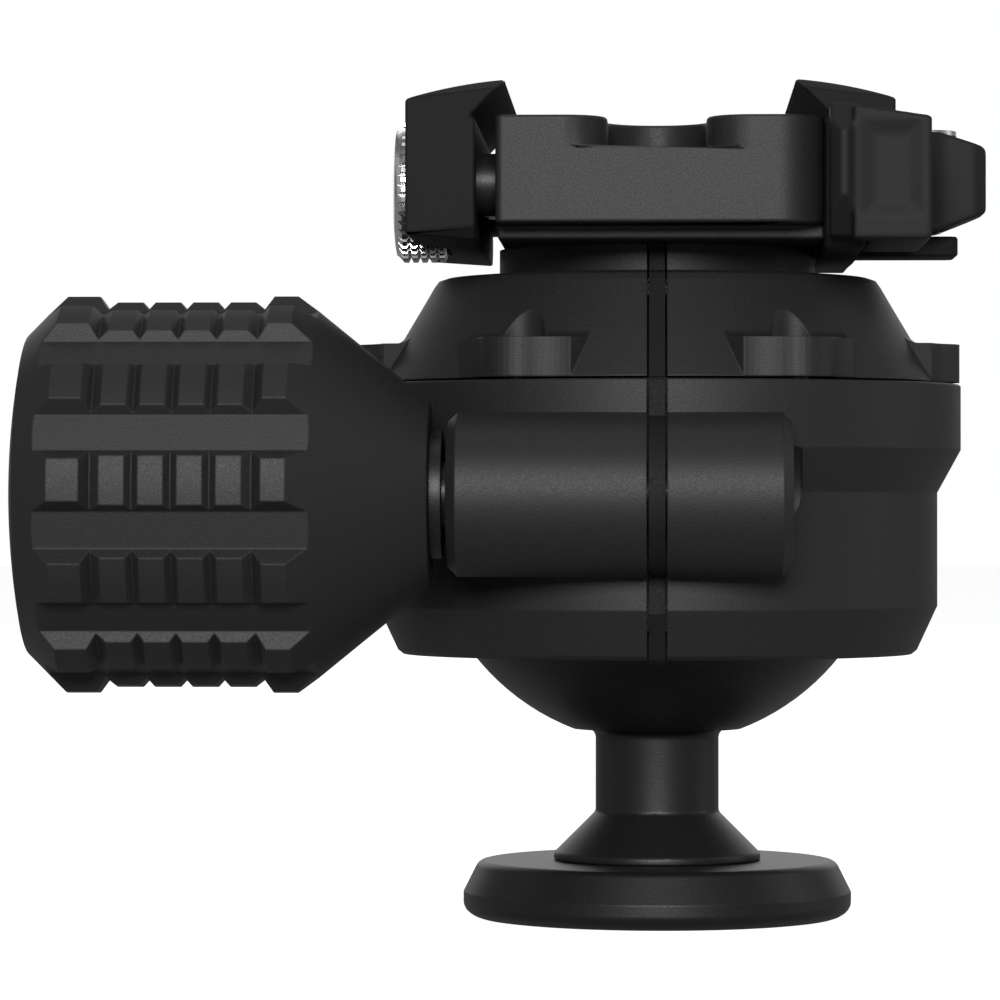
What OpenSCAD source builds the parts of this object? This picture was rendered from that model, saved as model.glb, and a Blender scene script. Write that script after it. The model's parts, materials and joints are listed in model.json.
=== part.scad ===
// Inverted tripod ball head with a lever clamp, in millimetres.
// +Z runs up the stem and the origin is the centre of the base plate's lower face.
// The pinch knob points to -X, its barrel lies in front at -Y and the lever is at +X.

/* [Base plate] */
// Radius of the base plate
base_r = 19.05; // [17:0.05:24]
// Thickness of the base plate
base_h = 5.6; // [4.6:0.1:8]
// Radial depth of the bevel on the upper rim
base_bevel = 1.55; // [0.4:0.05:3]
// Height of the bevel on the upper rim
base_bevel_h = 3.1; // [0.5:0.1:3.4]
// Chamfer under the rim
base_chamfer = 0.9; // [0.2:0.05:1.1]
// Radius of the tapped hole for a 3/8 inch tripod screw
thread_r = 3.97; // [2.4:0.01:4.2]
// Radius of the steel bush round that thread
bush_r = 5.5; // [5:0.05:5.8]
// Length of the steel bush
bush_l = 8.4; // [6.5:0.1:8.8]
// Radius of the circle of base screws
base_screw_circle = 7.7; // [7.5:0.05:8]
// Radius of a base screw
base_screw_r = 1.1; // [0.8:0.05:1.3]

/* [Ball and stem] */
// Radius of the ball
ball_r = 22.85; // [21.5:0.05:24]
// Height of the ball's centre above the base plate
stem_l = 34.2; // [32:0.1:40]
// Radius of the neck
neck_r = 6.05; // [5:0.05:6.4]
// Radius of the stem's foot
foot_r = 10.15; // [9.6:0.05:12]
// Height of the foot's upright rim
foot_h = 0.7; // [0.3:0.05:1.5]
// Radius of the flat turned under the ball
ball_flat_r = 8.3; // [7.6:0.05:9.5]
// Radius of the fillet between the neck and the ball
neck_fillet = 0.9; // [0.3:0.05:1.2]

/* [Ball seat] */
// Gap between the ball and the pieces that slide on it
ball_gap = 0.15; // [0.1:0.01:0.25]
// Thickness of the friction dome over the ball
dome_t = 1.1; // [0.8:0.05:1.3]
// Half angle that the friction dome covers
dome_angle = 30; // [20:1:32]
// Clearance over the friction dome
dome_clear = 0.3; // [0.25:0.05:0.4]
// Thickness of the ball liner at the equator
liner_t = 0.95; // [0.7:0.05:1.1]
// Height of the liner's upper edge above the ball's centre
liner_up = 9.8; // [8:0.1:10]
// Depth of the liner's lower edge below the ball's centre
liner_down = 11.2; // [10:0.1:11.6]
// Running clearance of the liner in the housing
liner_fit = 0.05; // [0.03:0.01:0.1]

/* [Housing] */
// Distance from the ball's surface to the housing's outside
housing_wall = 4.63; // [4.2:0.01:7]
// Step from the housing's waist out to its upper band
band_step = 2.29; // [2.2:0.01:4]
// Depth of the housing's lower face below the ball's centre
housing_down = 13.9; // [13:0.1:14.5]
// Radial depth of the chamfer under the housing
lower_bevel = 2.08; // [0.5:0.02:2.4]
// Height of the chamfer under the housing
lower_bevel_h = 4.7; // [1:0.1:8]
// Height of the upper chamfer's start above the ball's centre
band_up = 1.87; // [0:0.01:3]
// Height of the upper chamfer
band_bevel_h = 4.17; // [1:0.01:5]
// Height of the parting plane above the ball's centre
parting_up = 12.4; // [12:0.1:14]
// Gap at the parting plane
parting_gap = 0.25; // [0.1:0.01:0.4]
// Flare of the mouth where the ball looks out
mouth_flare = 1.1; // [0.4:0.05:1.8]
// Width of the slot that lets the housing close on the ball
slot_w = 1.86; // [1.6:0.02:2.6]
// Thickness of the seal strip in the slot
seal_t = 1.54; // [1:0.02:1.58]
// Depth that the strip lies behind the surface
seal_inset = 0.3; // [0.1:0.05:0.6]
// Length that the strip shows under the housing
seal_tail = 0.3; // [0:0.05:0.8]

/* [Housing cap] */
// Height of the cap's flat top above the top of the ball
cap_over = 0.05; // [0:0.05:1.2]
// Width of the housing's ledge outside the cap's cone
cone_ledge = 2.37; // [1:0.01:2.6]
// Distance that the cone draws in from its foot to its upper edge
cone_in = 5.5; // [3.5:0.05:7]
// Height of the rounding on the cap's upper edge
cone_round = 0.9; // [0.3:0.05:1.5]
// Distance of the cap screws outside the liner's bore
cap_screw_out = 2.1; // [1.8:0.05:2.2]
// Number of cap screws
cap_screw_n = 6; // [4:2:6]
// Radius of a cap screw's thread
cap_screw_r = 1.25; // [1:0.05:1.3]
// Radius of a cap screw's head
cap_head_r = 2.25; // [1.8:0.05:2.3]
// Height of a cap screw's head
cap_head_h = 2.4; // [1.6:0.1:2.6]
// Radius of the pocket round a screw head
pocket_r = 2.5; // [2.35:0.05:2.8]
// Radius of the lobe round a screw
lobe_r = 3.6; // [3.2:0.05:3.65]
// Radius of the hollow fillets at a lobe's sides
lobe_side = 7.35; // [5:0.05:9]
// Angle that a lobe widens by from the cone's foot up to its ledge
lobe_spread = 2.5; // [0:0.1:4]
// Height of a lobe
lobe_h = 3.75; // [3:0.05:4.5]
// Radius of the hollow fillet above a lobe
lobe_fillet = 1.5; // [0.5:0.05:1.8]
// Radius of the collar under the clamp
collar_r = 15.48; // [13:0.02:18]
// Height of the collar
collar_h = 2.75; // [2.2:0.05:5]

/* [Pinch barrel and knob] */
// Distance from the ball's surface to the pinch bolt's axis
bolt_out = 6.15; // [5.8:0.05:8]
// Height of the pinch bolt's axis above the ball's centre
bolt_up = 1.6; // [-2:0.1:4]
// Radius of the barrel round the pinch bolt
barrel_r = 7.63; // [6.8:0.01:8.4]
// Left end of the barrel, from the slot
barrel_left = 19.4; // [17:0.1:19.5]
// Right end of the barrel, from the slot
barrel_right = 12.5; // [11:0.1:16]
// Chamfer on the barrel's ends
barrel_chamfer = 0.9; // [0.2:0.05:1.4]
// Radius of the pinch bolt
bolt_r = 3; // [2.4:0.05:3.2]
// Running clearance of bolts, pins and rods in their bores
run_fit = 0.08; // [0.04:0.01:0.1]
// Radius of the thrust collar
thrust_r = 5.97; // [5:0.01:7]
// Thickness of the thrust collar
thrust_t = 1.17; // [0.8:0.01:2]
// Gap between the thrust collar and the barrel
thrust_gap = 0.45; // [0.35:0.01:0.8]
// Radius of the knob's end blocks
knob_r = 18.39; // [16:0.01:19]
// Radius of the knob's inner ribs
knob_rib_r = 17.85; // [15.5:0.01:18.4]
// Length of the knob's ribbed grip
knob_grip_l = 21.4; // [20.5:0.1:24]
// Length of the end block on the shaft's side
knob_block_l = 2.2; // [1.5:0.05:3]
// Width of the grooves beside the end blocks
knob_gap = 1.75; // [1.4:0.05:2]
// Number of inner ribs
knob_rib_n = 4; // [2:1:4]
// Pitch of the inner ribs
knob_rib_pitch = 3.5; // [3.2:0.05:3.6]
// Length of an inner rib
knob_rib_l = 2.27; // [1.8:0.01:2.5]
// Depth of the grooves between ribs
knob_groove = 0.68; // [0.3:0.01:0.9]
// Number of grooves along the knob
knob_flute_n = 12; // [8:1:14]
// Distance of a flute's flat floor from the axis
flute_floor = 16.9; // [15.2:0.05:17.2]
// Width of a flute's floor
flute_w = 3.4; // [2:0.05:4]
// Turn of the flutes round the axis
flute_turn = 11; // [0:1:29]
// Radius of the knob's shaft end
knob_hub_r = 8.6; // [7.5:0.05:10]
// Length of the knob's cone
knob_cone_l = 10.3; // [8:0.1:12]
// Chamfer between the grip and the end cap
knob_shoulder = 3.5; // [2:0.1:4]
// Radius of the domed end cap
end_cap_r = 14.9; // [13:0.05:15]
// Crown of the domed end cap
end_cap_crown = 1.6; // [0.4:0.05:2]

/* [Clamp body] */
// Half length of the clamp along Y
clamp_half = 26.5; // [25:0.1:35]
// Left face of the clamp body
body_left = -15.1; // [-17:0.1:-14.5]
// Right face of the clamp body
body_right = 15.7; // [15:0.1:18]
// Height of the clamp body's step over the collar
step_h = 1.35; // [0.8:0.05:2]
// Height of the clamp body above its step
deck_h = 10.06; // [9.6:0.02:14]
// Length that the step lies behind the clamp's end
step_back = 4.5; // [3:0.1:6]
// Corner radius on the lever's side, seen from above
body_corner = 4.5; // [2:0.1:5]
// Edge radius on the other side
body_edge = 0.7; // [0.3:0.05:1.5]
// Depth of the finger notch in each end of the deck
scoop_d = 3.05; // [2:0.05:3.2]
// Half width of the notch and radius of its round end
scoop_r = 4.65; // [3.5:0.05:4.8]
// Radius that rolls the notch out into the clamp's end
scoop_lip = 4; // [2:0.1:5]
// Length of the notch
scoop_l = 13.9; // [11:0.1:15]

/* [Jaws] */
// Opening between the jaws at the deck, with the clamp closed
jaw_gap = 33.1; // [32.6:0.1:35]
// Gap between the moving jaw and the clamp body
jaw_slack = 1.9; // [1.6:0.1:3]
// Thickness of a jaw
jaw_t = 6.5; // [6:0.1:8]
// Rise of the dovetail above the deck
jaw_rise = 3.1; // [2.5:0.05:4]
// Upright land on the dovetail's tip
jaw_land = 0.35; // [0.2:0.05:0.6]
// Fall of the jaw's top from its tip to its outer face
jaw_slope = 2; // [0.5:0.1:2.6]
// Bulge of the jaw's top
jaw_bulge = 0.35; // [0:0.05:0.6]
// Length of the lead-in ramp on a jaw's ends
ramp_l = 2.6; // [1:0.1:5]
// Depth of the lead-in ramp
ramp_d = 0.85; // [0.3:0.05:1.2]
// Lean of the lead-in ramp across the jaw, in degrees
ramp_lean = 6.4; // [0:0.1:10]
// Depth of the moving jaw's lower face below the deck
jaw_depth = 11.65; // [11.3:0.05:13]

/* [Jaw drive] */
// Radius of the draw bolt
draw_r = 2.5; // [2:0.05:2.8]
// Depth of the draw bolt's axis below the deck
draw_down = 5.56; // [5.2:0.02:6]
// Radius of the adjusting wheel
wheel_r = 6.95; // [6:0.05:7.6]
// Thickness of the adjusting wheel
wheel_t = 5.3; // [4.5:0.1:6]
// Crown of the wheel's outer face
wheel_crown = 0.6; // [0.2:0.05:1]
// Depth of the wheel's knurling
knurl_d = 0.42; // [0.2:0.02:0.6]
// Knurls round the wheel
knurl_n = 45; // [30:1:60]
// Knurls across the wheel
knurl_rows = 5; // [3:1:6]
// Radius of a guide pin
guide_r = 2.85; // [2:0.05:3.2]
// Distance of the guide pins from the middle
guide_y = 20; // [18:0.1:21]
// Depth of the guide pins' axis below the deck
guide_down = 6.06; // [5.8:0.02:6.3]
// Length of a guide pin inside the clamp body
guide_l = 8; // [7:0.1:8.3]
// Radius of a jaw spring
spring_r = 1.9; // [1.4:0.05:2.1]
// Length of a jaw spring inside the clamp body
spring_l = 6.9; // [5:0.1:7.5]
// Distance of the jaw springs from the middle
spring_y = 13.9; // [13.6:0.1:14.3]

/* [Lever] */
// Lever pin's distance from the fixed jaw's outer face
pin_out = 3.9; // [3.6:0.05:4.6]
// Radius of the lever pin
pin_r = 1.75; // [1.4:0.05:1.9]
// Radius of the lever's cam
cam_r = 3.95; // [3.8:0.05:4.1]
// Offset of the cam's centre along each axis
cam_offset = 1; // [0.8:0.02:1.1]
// Clearance between the cam and its plate
cam_gap = 0.3; // [0.2:0.02:0.35]
// Thickness of the steel cam plate
cam_plate_t = 0.9; // [0.6:0.05:1.1]
// Width of the lever's outer wall
lever_wall = 2.7; // [2.2:0.1:2.9]
// Length of the lever in front of the jaws
lever_nose = 5.1; // [4:0.1:7]
// Lowest face of the lever, below the deck
lever_down = 11.95; // [11.6:0.05:12.1]
// Reach of the lever's hub past its pin
hub_out = 5.85; // [5.5:0.05:6.5]
// Step from the lever's front panel out to its ridge
ridge_up = 0.6; // [0.2:0.05:1]
// Depth of the thumb dish in the front panel
dish_d = 0.35; // [0.2:0.05:0.8]

/* [Hidden] */

// Smoothness of round faces, and a length that cuts run past a face
$fn = 96;
past = 1;
// Clearance of screws and pressed pieces in their holes
seat_fit = 0.02;
anodised = [0.11, 0.11, 0.12];
satin_black = [0.16, 0.16, 0.17];
steel = [0.72, 0.72, 0.74];

// Levels, from the base upwards
ball_z = base_h + stem_l;
housing_z = ball_z - housing_down;
parting_z = ball_z + parting_up;
cap_z = parting_z + parting_gap;
cap_top = ball_z + ball_r + cap_over;
collar_top = cap_top + collar_h;
step_top = collar_top + step_h;
deck_z = step_top + deck_h;
draw_z = deck_z - draw_down;
guide_z = deck_z - guide_down;

// Radii round the ball
seat_r = ball_r + ball_gap;
dome_r = seat_r + dome_t;
vault_r = dome_r + dome_clear;
liner_r = seat_r + liner_t;
bore_r = liner_r + liner_fit;
housing_r = ball_r + housing_wall;
band_r = housing_r + band_step;
lip_r = sqrt(pow(seat_r, 2) - pow(liner_down, 2)) + 0.3;
mouth_r = lip_r + mouth_flare;
cone_foot_r = band_r - cone_ledge;
cone_top_r = cone_foot_r - cone_in;
cap_screw_circle = bore_r + cap_screw_out;
// Depth that screws reach into the housing and the cap, and the free length past their ends
cap_screw_in = 6.2;
clamp_screw_in = 1.2;
screw_end = 0.4;

// Pinch bolt and knob
bolt_y = -(ball_r + bolt_out);
bolt_z = ball_z + bolt_up;
thrust_x = -barrel_left - thrust_gap;
knob_x = thrust_x - thrust_t;
cone_x = knob_x - knob_cone_l;
knob_bevel = 1.9;
grip_x = cone_x - knob_bevel;
cap_face_x = grip_x - knob_grip_l - knob_shoulder;
knob_end_x = cap_face_x - end_cap_crown;
cavity_r = 9;
cavity_web = 13;
nut_t = 4.6;
anchor_r = 5;
anchor_l = 8;
anchor_inset = 0.2;
bolt_end = barrel_right - 1;
web_half = 5.4;
plug_l = 1.5;
plug_in = 1.5;

// Clamp
jaw_mid = (body_right + body_left - jaw_slack) / 2;
jaw_top = deck_z + jaw_rise + jaw_land;
moving_x = body_left - jaw_slack;
fixed_outer = body_right + jaw_t;
pin_x = fixed_outer + pin_out;
window_x = moving_x - 3.5;
wheel_gap = 0.2;
wheel_x = window_x - wheel_gap;
wheel_out = wheel_x - wheel_t;
clamp_screw_xy = 9.2;
clamp_screw_r = 1.5;
clamp_head_r = 2.75;
clamp_head_h = 3;
jaw_screw_y = 17;
jaw_screw_r = 1.5;
jaw_screw_in = 7;
jaw_head_r = 2.6;
jaw_head_h = 2.8;
foot_x = body_right + 3.7;
ledge_y = 5;
ledge_out = 3.3;
pocket_half = 8.3;

// Lever, seen from above and along its height
lever_low = deck_z - lever_down;
hub_low = lever_low + 2.1;
hub_high = deck_z - 0.26;
hub_y = -7;
hub_fillet = 3.2;
pin_head_r = 3.3;
pin_head_h = 0.5;
pin_clear = 0.3;
eye_half = 2;
eye_r = 3;
eye_clear = 0.3;
lever_in = fixed_outer + 0.4;
lever_x = lever_in + lever_wall;
lever_front = -clamp_half - 0.4 - lever_nose;
lever_back = -clamp_half - 0.4;
post_x = lever_in - 6.63;
post_w = 2.44;

function arc(x, y, r, from, to, steps = 8) =
    [for (i = [0 : steps]) let (a = from + (to - from) * i / steps) [x + r * cos(a), y + r * sin(a)]];

// A cylinder along X between two places
module x_rod(x0, x1, r, y = 0, z = 0) {
    translate([x0, y, z]) rotate([0, 90, 0]) cylinder(h = x1 - x0, r = r);
}

// A turned shape about a line along X, from points of radius and x
module x_turned(points, y = 0, z = 0) {
    translate([0, y, z]) rotate([0, 90, 0]) rotate_extrude() polygon(points);
}

// An outline in Y and Z, extruded along X
module x_prism(x0, x1) {
    translate([x0, 0, 0]) rotate([90, 0, 90]) linear_extrude(height = x1 - x0) children();
}

// An outline in X and Z, extruded along Y
module y_prism(y0, y1) {
    translate([0, y1, 0]) rotate([90, 0, 0]) linear_extrude(height = y1 - y0) children();
}

// A box between two corners
module block(low, high) {
    translate(low) cube(high - low);
}

// ---- base -----------------------------------------------------------------------------

module base_screw_places() {
    for (a = [90 : 120 : 330]) rotate(a) translate([base_screw_circle, 0, 0]) children();
}

module base_plate() {
    head_r = base_screw_r * 1.9;
    color(anodised) difference() {
        rotate_extrude() polygon([[0, 0], [base_r - base_chamfer * 1.4, 0], [base_r, base_chamfer],
            [base_r, base_h - base_bevel_h], [base_r - base_bevel, base_h], [0, base_h]]);
        translate([0, 0, -past]) cylinder(h = base_h + 2 * past, r = bush_r + seat_fit);
        base_screw_places() {
            translate([0, 0, -past]) cylinder(h = base_h + 2 * past, r = base_screw_r + seat_fit);
            translate([0, 0, -past]) cylinder(h = past + base_chamfer, r = head_r + seat_fit);
        }
    }
}

module thread_bush() {
    color(steel) difference() {
        cylinder(h = bush_l, r = bush_r);
        translate([0, 0, -past]) cylinder(h = bush_l + 2 * past, r = thread_r);
    }
}

module base_screws() {
    head_r = base_screw_r * 1.9;
    socket_r = base_screw_r * 0.7;
    color(steel) base_screw_places() difference() {
        union() {
            translate([0, 0, 0.1]) cylinder(h = base_chamfer - 0.1, r = head_r);
            translate([0, 0, 0.1]) cylinder(h = base_h + 1.6, r = base_screw_r);
        }
        cylinder(h = 0.1 + base_chamfer * 0.7, r = socket_r, $fn = 6);
    }
}

module ball_stem() {
    flat_z = ball_z - sqrt(pow(ball_r, 2) - pow(ball_flat_r, 2));
    cone_foot = base_h + foot_h;
    fillet = arc(neck_r + neck_fillet, flat_z - neck_fillet, neck_fillet, 180, 90, 6);
    color(satin_black) difference() {
        union() {
            rotate_extrude() polygon(concat([[0, base_h], [foot_r, base_h], [foot_r, cone_foot],
                [neck_r, cone_foot + foot_r - neck_r]], fillet, [[ball_flat_r, flat_z], [0, flat_z + past]]));
            difference() {
                translate([0, 0, ball_z]) sphere(r = ball_r);
                translate([0, 0, flat_z - ball_r]) cylinder(h = ball_r, r = ball_r);
            }
        }
        translate([0, 0, base_h - past]) cylinder(h = bush_l + 0.1 - base_h + past, r = bush_r + seat_fit);
        base_screw_places() translate([0, 0, base_h - past])
            cylinder(h = 1.9 + past, r = base_screw_r + seat_fit);
    }
}

// ---- ball seat ------------------------------------------------------------------------

module friction_dome() {
    rim = dome_r * cos(dome_angle);
    color("ivory") translate([0, 0, ball_z]) difference() {
        sphere(r = dome_r);
        sphere(r = seat_r);
        translate([0, 0, rim - 2 * dome_r]) cylinder(h = 2 * dome_r, r = dome_r + past);
    }
}

module ball_liner() {
    color("ivory") translate([0, 0, ball_z]) difference() {
        translate([0, 0, -liner_down]) cylinder(h = liner_down + liner_up, r = liner_r);
        sphere(r = seat_r);
    }
}

// ---- housing --------------------------------------------------------------------------

module housing_shape(inset = 0) {
    edge = 0.4;
    foot = housing_r - lower_bevel;
    band_z = ball_z + band_up;
    rotate_extrude() polygon([[0, housing_z], [foot - edge - inset, housing_z],
        [foot - inset + 0.1, housing_z + edge], [housing_r - inset, housing_z + lower_bevel_h],
        [housing_r - inset, band_z], [band_r - inset, band_z + band_bevel_h],
        [band_r - inset, parting_z - 0.15], [band_r - inset - 0.15, parting_z], [0, parting_z]]);
}

module barrel_shape(inset = 0) {
    r = barrel_r - inset;
    x_turned([[0, -barrel_left], [r - barrel_chamfer, -barrel_left], [r, -barrel_left + barrel_chamfer],
        [r, barrel_right - barrel_chamfer], [r - barrel_chamfer, barrel_right], [0, barrel_right]],
        bolt_y, bolt_z);
}

module cap_shape(inset = 0) {
    edge_z = cap_top - cone_round;
    rotate_extrude() polygon([[0, cap_z], [cone_foot_r - inset, cap_z], [cone_top_r - inset, edge_z],
        [cone_top_r - cone_round * 0.45 - inset, edge_z + cone_round * 0.62],
        [cone_top_r - cone_round * 1.3 - inset, edge_z + cone_round * 0.9],
        [cone_top_r - cone_round * 2.6 - inset, cap_top], [0, cap_top]]);
}

module collar_shape(inset = 0) {
    translate([0, 0, cap_top]) cylinder(h = collar_h, r = collar_r - inset);
}

// The slot runs from the ball's bore out through the front
module slot(from) {
    block([-slot_w / 2, -2 * band_r, housing_z - past], [slot_w / 2, -from, collar_top + past]);
}

module cap_screw_places() {
    for (i = [0 : cap_screw_n - 1])
        rotate(i * 360 / cap_screw_n) translate([cap_screw_circle, 0, 0]) children();
}

module main_housing() {
    screw_z = parting_z - cap_screw_in - screw_end;
    color(anodised) difference() {
        union() {
            housing_shape();
            barrel_shape();
            block([-barrel_left + barrel_chamfer, bolt_y, bolt_z - web_half],
                [barrel_right - barrel_chamfer, -ball_r / 2, bolt_z + web_half]);
        }
        translate([0, 0, ball_z - liner_down - 0.1])
            cylinder(h = liner_down + parting_up + past, r = bore_r);
        translate([0, 0, housing_z - past]) cylinder(h = housing_down + past, r = lip_r);
        translate([0, 0, housing_z - 0.01])
            cylinder(h = housing_down - liner_down, r1 = mouth_r, r2 = lip_r);
        slot(ball_r - past);
        x_rod(-barrel_left - past, barrel_right + past, bolt_r + run_fit, bolt_y, bolt_z);
        x_rod(barrel_right - anchor_l - anchor_inset, barrel_right + past, anchor_r + seat_fit,
            bolt_y, bolt_z);
        cap_screw_places() translate([0, 0, screw_z])
            cylinder(h = parting_z - screw_z + past, r = cap_screw_r + seat_fit);
    }
}

// A lobe from above: round about its screw, with hollow sides that widen to its heel on the cone
function lobe_points(root) =
    let (near = lobe_r + lobe_side, far = cone_foot_r - seat_fit + lobe_side, c = cap_screw_circle,
        u = (pow(far, 2) - pow(near, 2) + pow(c, 2)) / (2 * c), v = sqrt(pow(far, 2) - pow(u, 2)),
        turn = atan2(v, u - c), foot = atan2(v, u), side = arc(u, v, lobe_side, 180 + turn, 180 + foot, 8),
        heel = [root * cos(foot + lobe_spread), root * sin(foot + lobe_spread)])
    concat(arc(c, 0, lobe_r, -turn, turn, 10), [for (i = [1 : 8]) side[i]], [heel, [root - 2.5, heel[1]]],
        [[root - 2.5, -heel[1]], [heel[0], -heel[1]]], [for (i = [8 : -1 : 1]) [side[i][0], -side[i][1]]]);

// The lobes end in a flat ledge, which rolls up into the cone behind the screws
module lobes() {
    slope = atan((cone_foot_r - cone_top_r) / (cap_top - cone_round - cap_z));
    ledge_z = cap_z + lobe_h;
    root = cone_foot_r - lobe_h * tan(slope);
    roll_x = root + lobe_fillet * (1 - sin(slope)) / cos(slope) - 0.02;
    intersection() {
        rotate_extrude() polygon(concat([[root - 3, cap_z], [band_r + past, cap_z], [band_r + past, ledge_z]],
            arc(roll_x, ledge_z + lobe_fillet, lobe_fillet, 270, 180 + slope, 5), [[root - 3, ledge_z + 0.3]]));
        for (i = [0 : cap_screw_n - 1]) rotate(i * 360 / cap_screw_n)
            translate([0, 0, cap_z - past]) linear_extrude(height = lobe_h + lobe_fillet + past)
                polygon(lobe_points(root));
    }
}

module housing_cap() {
    floor_z = cap_z + lobe_h - cap_head_h - 0.1;
    color(anodised) difference() {
        union() {
            cap_shape();
            lobes();
        }
        translate([0, 0, ball_z]) sphere(r = vault_r);
        cap_screw_places() {
            translate([0, 0, floor_z]) cylinder(h = cap_top - floor_z, r = pocket_r);
            translate([0, 0, cap_z - past]) cylinder(h = cap_top - cap_z, r = cap_screw_r + seat_fit);
        }
        slot(collar_r * 0.55);
        clamp_screw_places() translate([0, 0, cap_top - clamp_screw_in - screw_end])
            cylinder(h = clamp_screw_in + screw_end + past, r = clamp_screw_r + seat_fit);
    }
}

module cap_screws() {
    floor_z = cap_z + lobe_h - cap_head_h - 0.1;
    color(steel) cap_screw_places() difference() {
        union() {
            translate([0, 0, floor_z]) cylinder(h = cap_head_h, r = cap_head_r);
            translate([0, 0, parting_z - cap_screw_in])
                cylinder(h = floor_z - parting_z + cap_screw_in, r = cap_screw_r);
        }
        translate([0, 0, floor_z + cap_head_h * 0.45])
            cylinder(h = cap_head_h, r = cap_screw_r * 0.95, $fn = 6);
    }
}

module preload_ring() {
    low = ball_z + liner_up + 0.05;
    color("dimgray") translate([0, 0, low]) difference() {
        cylinder(h = parting_z + parting_gap - low - 0.05, r = bore_r - 0.1);
        translate([0, 0, -past]) cylinder(h = parting_up, r = bore_r - 1.4);
    }
}

module slot_seal() {
    low = housing_z - seal_tail;
    color([0.24, 0.24, 0.25]) difference() {
        intersection() {
            union() {
                housing_shape(seal_inset);
                translate([0, 0, -seal_tail]) housing_shape(seal_inset);
                translate([0, 0, -parting_gap - 0.1]) cap_shape(seal_inset);
                cap_shape(seal_inset);
                collar_shape(seal_inset);
                barrel_shape(seal_inset);
                block([-seal_t, bolt_y, bolt_z - web_half + seal_inset],
                    [seal_t, -bore_r, bolt_z + web_half - seal_inset]);
            }
            block([-seal_t / 2, -2 * band_r, low], [seal_t / 2, -collar_r * 0.6, collar_top]);
        }
        translate([0, 0, low - past]) cylinder(h = cap_z + 0.1 - low + past, r = bore_r + 0.25);
        translate([0, 0, ball_z]) sphere(r = vault_r + 0.25);
        x_rod(-seal_t, seal_t, bolt_r + 2 * run_fit, bolt_y, bolt_z);
    }
}

module clamp_collar() {
    color(anodised) difference() {
        collar_shape();
        translate([0, 0, ball_z]) sphere(r = vault_r);
        slot(collar_r * 0.55);
        clamp_screw_places() translate([0, 0, cap_top - past])
            cylinder(h = collar_h + 2 * past, r = clamp_screw_r + seat_fit);
    }
}

// ---- pinch bolt and knob --------------------------------------------------------------

module bolt_anchor() {
    color(steel) difference() {
        x_rod(barrel_right - anchor_l - anchor_inset, barrel_right - anchor_inset, anchor_r, bolt_y, bolt_z);
        x_rod(0, barrel_right + past, bolt_r + run_fit, bolt_y, bolt_z);
    }
}

module thrust_collar() {
    color(satin_black) difference() {
        x_rod(knob_x + 0.05, thrust_x, thrust_r, bolt_y, bolt_z);
        x_rod(knob_x - past, thrust_x + past, bolt_r + run_fit, bolt_y, bolt_z);
    }
}

// The grip's outline: a block at each end, with ribs and V grooves between them
function grip_points() =
    let (floor_r = knob_rib_r - knob_groove, block_x = grip_x - knob_block_l, rib_x = block_x - knob_gap,
        last_x = rib_x - (knob_rib_n - 1) * knob_rib_pitch - knob_rib_l)
    concat([[knob_r, grip_x], [knob_r, block_x], [floor_r, block_x - knob_gap / 2]],
        [for (i = [0 : knob_rib_n - 1]) let (x = rib_x - i * knob_rib_pitch)
            each concat(i == 0 ? [] : [[floor_r, x + (knob_rib_pitch - knob_rib_l) / 2]],
                [[knob_rib_r, x], [knob_rib_r, x - knob_rib_l]])],
        [[floor_r, last_x - knob_gap / 2], [knob_r, last_x - knob_gap], [knob_r, grip_x - knob_grip_l]]);

module knob_body() {
    shoulder_r = knob_r - knob_shoulder;
    side = knob_r - flute_floor;
    color(anodised) difference() {
        x_turned(concat([[0, knob_x], [knob_hub_r, knob_x], [knob_r - 1.4, cone_x]], grip_points(),
            [[shoulder_r, cap_face_x], [0, cap_face_x]]), bolt_y, bolt_z);
        for (i = [0 : knob_flute_n - 1])
            translate([0, bolt_y, bolt_z]) rotate([flute_turn + i * 360 / knob_flute_n, 0, 0])
                x_prism(cap_face_x - past, knob_x)
                    polygon([[flute_floor, -flute_w / 2], [flute_floor, flute_w / 2],
                        [knob_r + past, flute_w / 2 + side + past * 0.8],
                        [knob_r + past, -flute_w / 2 - side - past * 0.8]]);
        x_rod(cap_face_x - past, knob_x + past, bolt_r + seat_fit, bolt_y, bolt_z);
        x_rod(cap_face_x - past, knob_x - cavity_web, cavity_r, bolt_y, bolt_z);
        x_rod(cap_face_x - past, cap_face_x + plug_l, end_cap_r - plug_in + seat_fit, bolt_y, bolt_z);
    }
}

module knob_end_cap() {
    crown_r = (pow(end_cap_r, 2) + pow(end_cap_crown, 2)) / (2 * end_cap_crown);
    sweep = asin(end_cap_r / crown_r);
    color(anodised) union() {
        x_turned(concat([[0, cap_face_x]], [[end_cap_r - 0.05, cap_face_x]],
            [for (i = [1 : 10]) let (a = sweep * (1 - i / 10))
                [crown_r * sin(a), knob_end_x + crown_r * (1 - cos(a))]]),
            bolt_y, bolt_z);
        x_rod(cap_face_x - 0.2, cap_face_x + plug_l - 0.1, end_cap_r - plug_in, bolt_y, bolt_z);
    }
}

module knob_nut() {
    color(steel) difference() {
        translate([knob_x - cavity_web - nut_t, bolt_y, bolt_z]) rotate([0, 90, 0])
            cylinder(h = nut_t, r = bolt_r * 1.9, $fn = 6);
        x_rod(cap_face_x, knob_x, bolt_r + seat_fit, bolt_y, bolt_z);
    }
}

module pinch_bolt() {
    color(steel) x_rod(knob_x - cavity_web - nut_t - 1.2, bolt_end, bolt_r, bolt_y, bolt_z);
}

// ---- clamp body -----------------------------------------------------------------------

module clamp_screw_places() {
    for (x = [-1, 1], y = [-1, 1]) translate([x * clamp_screw_xy, y * clamp_screw_xy, 0]) children();
}

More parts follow.
